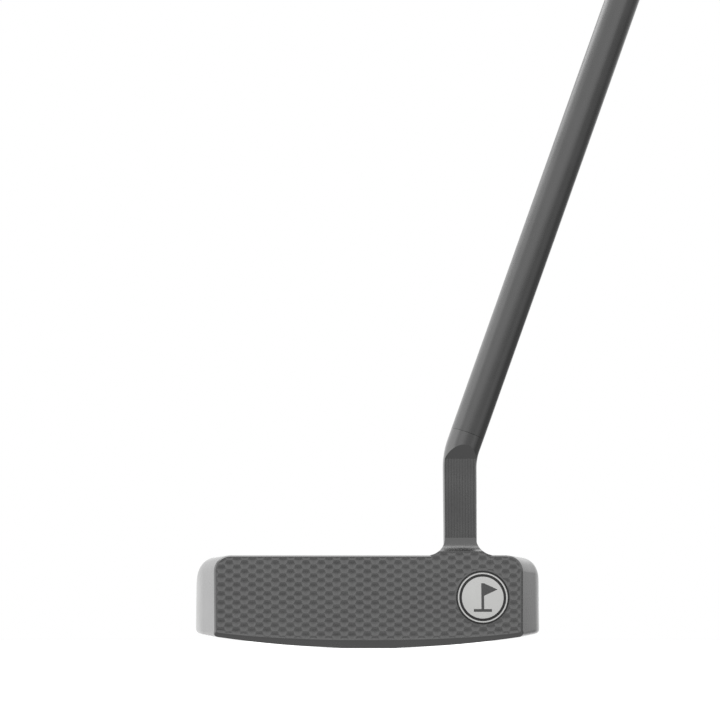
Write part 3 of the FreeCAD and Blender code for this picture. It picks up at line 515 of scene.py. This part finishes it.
def grip_pattern(along, turn, length):
    """How deep the moulded grooves are, by distance from the mouth and turn from the flat's middle."""
    from_flat = np.abs(turn)
    on_flat = 1 - ramp(from_flat, FLAT_ANGLE - BARS_FADE, FLAT_ANGLE)
    on_back = ramp(from_flat, FLAT_ANGLE + BACK_FROM, FLAT_ANGLE + BACK_FULL)
    bars = groove(along / BAR_PITCH, BAR_SHARE) * on_flat
    slant = groove(along / BACK_PITCH - BACK_TURNS * from_flat / 180, SLANT_SHARE) * on_back
    rails = groove(np.clip((from_flat - FLAT_ANGLE - RAIL_AT) / RAIL_WIDTH, -0.5, 0.5), 0.9)
    patterned = ramp(along, PLAIN_MOUTH, PLAIN_MOUTH + COLLAR_FADE) * (
        1 - ramp(along, length - PLAIN_END - COLLAR_FADE, length - PLAIN_END))
    return GROOVE_DEPTH * np.maximum(np.maximum(bars, slant), rails) * patterned


def make_moulded_grip(material):
    """The CAD grip's outer surface, with bars across its flat front and grooves round its back."""
    surface = BVHTree.FromObject(NODES["grip"], bpy.context.evaluated_depsgraph_get())
    axis = np.array(MOUNTS["butt_end"]["axis"])
    axis /= np.linalg.norm(axis)
    on_axis = np.array(MOUNTS["vent_hole"]["pos_m"])
    side = np.array((0.0, 1.0, 0.0))
    front = np.cross(side, axis)
    front *= -np.sign(front[0])
    points, _, _ = read_mesh("grip")
    along = (points - on_axis) @ axis
    low, high = along.min(), along.max()
    length = high - low

    bends = 1 - np.cos(np.linspace(0, math.pi / 2, ROUND_STEPS))
    first = math.ceil(LIP_ROUND / GRIP_STEP) + 1
    last = math.floor((length - END_ROUND) / GRIP_STEP)
    middle = np.arange(first, last) * GRIP_STEP
    rings = np.concatenate((LIP_ROUND * bends, middle, length - END_ROUND * bends[::-1]))
    rings = np.clip(rings, GRIP_SKIN, length - GRIP_SKIN)
    turns = np.arange(GRIP_AROUND) * 360 / GRIP_AROUND - 180
    ways = np.cos(np.radians(turns))[:, None] * front + np.sin(np.radians(turns))[:, None] * side

    radii = np.empty((len(rings), GRIP_AROUND))
    for row, ring in enumerate(rings):
        centre = on_axis + axis * (low + ring)
        for column, way in enumerate(ways):
            hit = surface.ray_cast(Vector(centre + way * RAY_START), Vector(-way))
            radii[row, column] = RAY_START - hit[3]
    rounded = rings > length - END_ROUND
    radii[rounded] = np.maximum(radii[rounded], CAP_RADIUS + CAP_RIM)
    soft = sum(np.roll(radii, shift, axis=1) * weight for shift, weight in SMOOTHING)
    radii = soft / sum(weight for _, weight in SMOOTHING)
    lip = np.clip(1 - rings / LIP_ROUND, 0, 1)
    radii -= (LIP_ROUND * (1 - np.sqrt(1 - lip * lip)))[:, None]
    radii -= grip_pattern(rings[:, None], turns[None, :], length)

    seat = length - CAP_THICKNESS
    inner = ((length, CAP_RADIUS), (seat, CAP_RADIUS), (seat, BORE_RADIUS), (0, BORE_RADIUS))
    stations = np.concatenate((rings, [station for station, _ in inner]))
    stations[0], stations[len(rings) - 1] = 0, length
    radii = np.vstack((radii, [np.full(GRIP_AROUND, radius) for _, radius in inner]))
    centres = on_axis + axis * (low + stations)[:, None, None]
    made = (centres + ways[None, :, :] * radii[:, :, None]).reshape(-1, 3)
    rows, columns = np.meshgrid(np.arange(len(stations)), np.arange(GRIP_AROUND), indexing="ij")
    next_row, next_column = (rows + 1) % len(stations), (columns + 1) % GRIP_AROUND
    faces = np.stack((
        rows * GRIP_AROUND + columns,
        rows * GRIP_AROUND + next_column,
        next_row * GRIP_AROUND + next_column,
        next_row * GRIP_AROUND + columns), axis=-1).reshape(-1, 4)
    a, b, c, d = (made[faces[:, corner]] for corner in range(4))
    if np.einsum("ij,ij->", a - on_axis, np.cross(c - a, d - b)) < 0:
        faces = faces[:, ::-1]
    grip = new_piece("grip_moulded", made, faces, None, material, "grip")
    grip.data.set_sharp_from_angle(angle=math.radians(SHARP_EDGE))


# ---------------------------------------------------------------- stage

# Soft light as the club's surfaces mirror it.  Azimuth runs from straight in front of the face (0)
# towards the heel (+) and the toe (-); elevation from the horizon; both in degrees.
# name, azimuth, half width, elevation, half height, soft edge, brightness
PANELS = (
    ("front_low", 0, 60, -18, 8, 9, 0.78),
    ("front_high", 10, 46, 13, 3, 6, 1.15),
    ("front", 0, 50, -1, 5, 5, 0.47),
    ("toe_back", -172, 20, 0, 14, 10, 1.40),
    ("toe_box", -105, 38, 4, 20, 17, 1.64),
    ("heel_flag", 68, 28, 2, 4, 9, 0.42),
    ("heel_side", 116, 30, -9, 8, 7, 0.28),
    ("heel_back", 174, 8, 2, 16, 12, 1.40),
)
WHITE = 1.0                      # what the camera and matt surfaces see
SKY = 0.95
GROUND = 0.54


def make_world():
    world = bpy.data.worlds.new("studio")
    bpy.context.scene.world = world
    world.use_nodes = True
    tree = world.node_tree
    direction = add_node(tree, "ShaderNodeTexCoord").outputs["Generated"]
    parts = add_node(tree, "ShaderNodeSeparateXYZ", ((0, direction),)).outputs
    degrees = 180 / math.pi
    toward = calc(tree, "MULTIPLY", parts[1], -1.0)
    azimuth = calc(tree, "MULTIPLY", calc(tree, "ARCTAN2", parts[0], toward), degrees)
    elevation = calc(tree, "MULTIPLY", calc(tree, "ARCSINE", parts[2]), degrees)
    light = remap(tree, elevation, -6, 4, GROUND, SKY, smooth=True)
    for _, at, half, rise, tall, soft, value in PANELS:
        off_side = calc(tree, "ABSOLUTE", calc(tree, "SUBTRACT", azimuth, at))
        off_rise = calc(tree, "ABSOLUTE", calc(tree, "SUBTRACT", elevation, rise))
        weight = calc(
            tree, "MULTIPLY",
            remap(tree, off_side, half, half + soft, 1, 0, smooth=True),
            remap(tree, off_rise, tall, tall + soft, 1, 0, smooth=True))
        step = calc(tree, "SUBTRACT", value, light)
        light = calc(tree, "MULTIPLY_ADD", step, weight, light)
    seen = add_node(tree, "ShaderNodeLightPath").outputs["Is Glossy Ray"]
    strength = calc(tree, "MULTIPLY_ADD", calc(tree, "SUBTRACT", light, WHITE), seen, WHITE)
    background = next(node for node in tree.nodes if node.type == "BACKGROUND")
    background.inputs["Color"].default_value = (1, 1, 1, 1)
    tree.links.new(strength, background.inputs["Strength"])


def make_floor():
    """A plain white floor under the sole."""
    mesh = bpy.data.meshes.new("floor")
    corners = [(x * FLOOR_HALF, y * FLOOR_HALF, 0) for x, y in ((-1, -1), (1, -1), (1, 1), (-1, 1))]
    mesh.from_pydata(corners, [], [(0, 1, 2, 3)])
    material, tree, principled = shader("floor_white", Roughness=0.9)
    paper = noise(tree, position_mm(tree), 0.01, 2.0)
    tree.links.new(tint(tree, paper, (0.93,) * 3, (0.95,) * 3), principled.inputs["Base Color"])
    mesh.materials.append(material)
    floor = bpy.data.objects.new("floor", mesh)
    bpy.context.scene.collection.objects.link(floor)
    floor.visible_glossy = False


def make_lamp():
    """One very wide, soft lamp overhead, a little to the toe side and in front."""
    lamp = bpy.data.lights.new("overhead", "SUN")
    lamp.energy = 2.2
    lamp.angle = math.radians(70)
    holder = bpy.data.objects.new("overhead", lamp)
    holder.rotation_euler = (math.radians(-18), math.radians(-16), 0)
    bpy.context.scene.collection.objects.link(holder)


def make_camera():
    """Low in front of the face, tipped up so that the neck and shaft stand in the picture."""
    camera = bpy.data.cameras.new("camera")
    camera.sensor_width = 36
    camera.lens = 102.5
    camera.clip_start = 0.01
    holder = bpy.data.objects.new("camera", camera)
    holder.location = Vector((-2.44, -592.36, 2.10)) * MM
    holder.rotation_euler = (math.radians(90 + 7.8), 0, 0)
    bpy.context.scene.collection.objects.link(holder)
    bpy.context.scene.camera = holder


# ---------------------------------------------------------------- making

black_enamel = make_enamel("black_enamel_gloss", (0.004,) * 3, (0.010,) * 3, 0.08)
# Painted shade: the neck gets a darker copy of the head's coating, one coating set darker for the neck's
# lower light.
dress("neck", make_gunmetal("gunmetal_neck_shaded_copy", 0.134, 0.156))
dress("shaft", make_shaft_metal())
dress("badge_medallion", make_turned_metal(
    "badge_nickel_brushed", "badge_medallion", (0.60, 0.60, 0.59), (0.72, 0.72, 0.71), 0.20, 0.35))
dress("badge_enamel_inner", black_enamel)
dress("badge_enamel_outer", black_enamel)
dress("badge_flag_inlay", make_enamel("grey_enamel_satin", (0.045,) * 3, (0.060,) * 3, 0.25))
dress("sight_line_fill", make_paint())
for side in ("heel", "toe"):
    weight = side + "_weight"
    dress(weight, make_turned_metal(
        weight + "_turned", weight, (0.17,) * 3, (0.21,) * 3, 0.22, 0.30))
dress("shaft_bond", make_epoxy())
dress("grip_tape", make_tape())
dress("grip_cap", make_cap_plastic())
rubber = make_rubber()
dress("grip", rubber)
# Painted light: the head's copy of the same coating is set lighter than the neck's.
make_milled_head(make_gunmetal("gunmetal_head_lit_copy", 0.144, 0.168))
make_moulded_grip(rubber)

bpy.context.scene.view_settings.view_transform = "Standard"
make_world()
make_floor()
make_lamp()
make_camera()
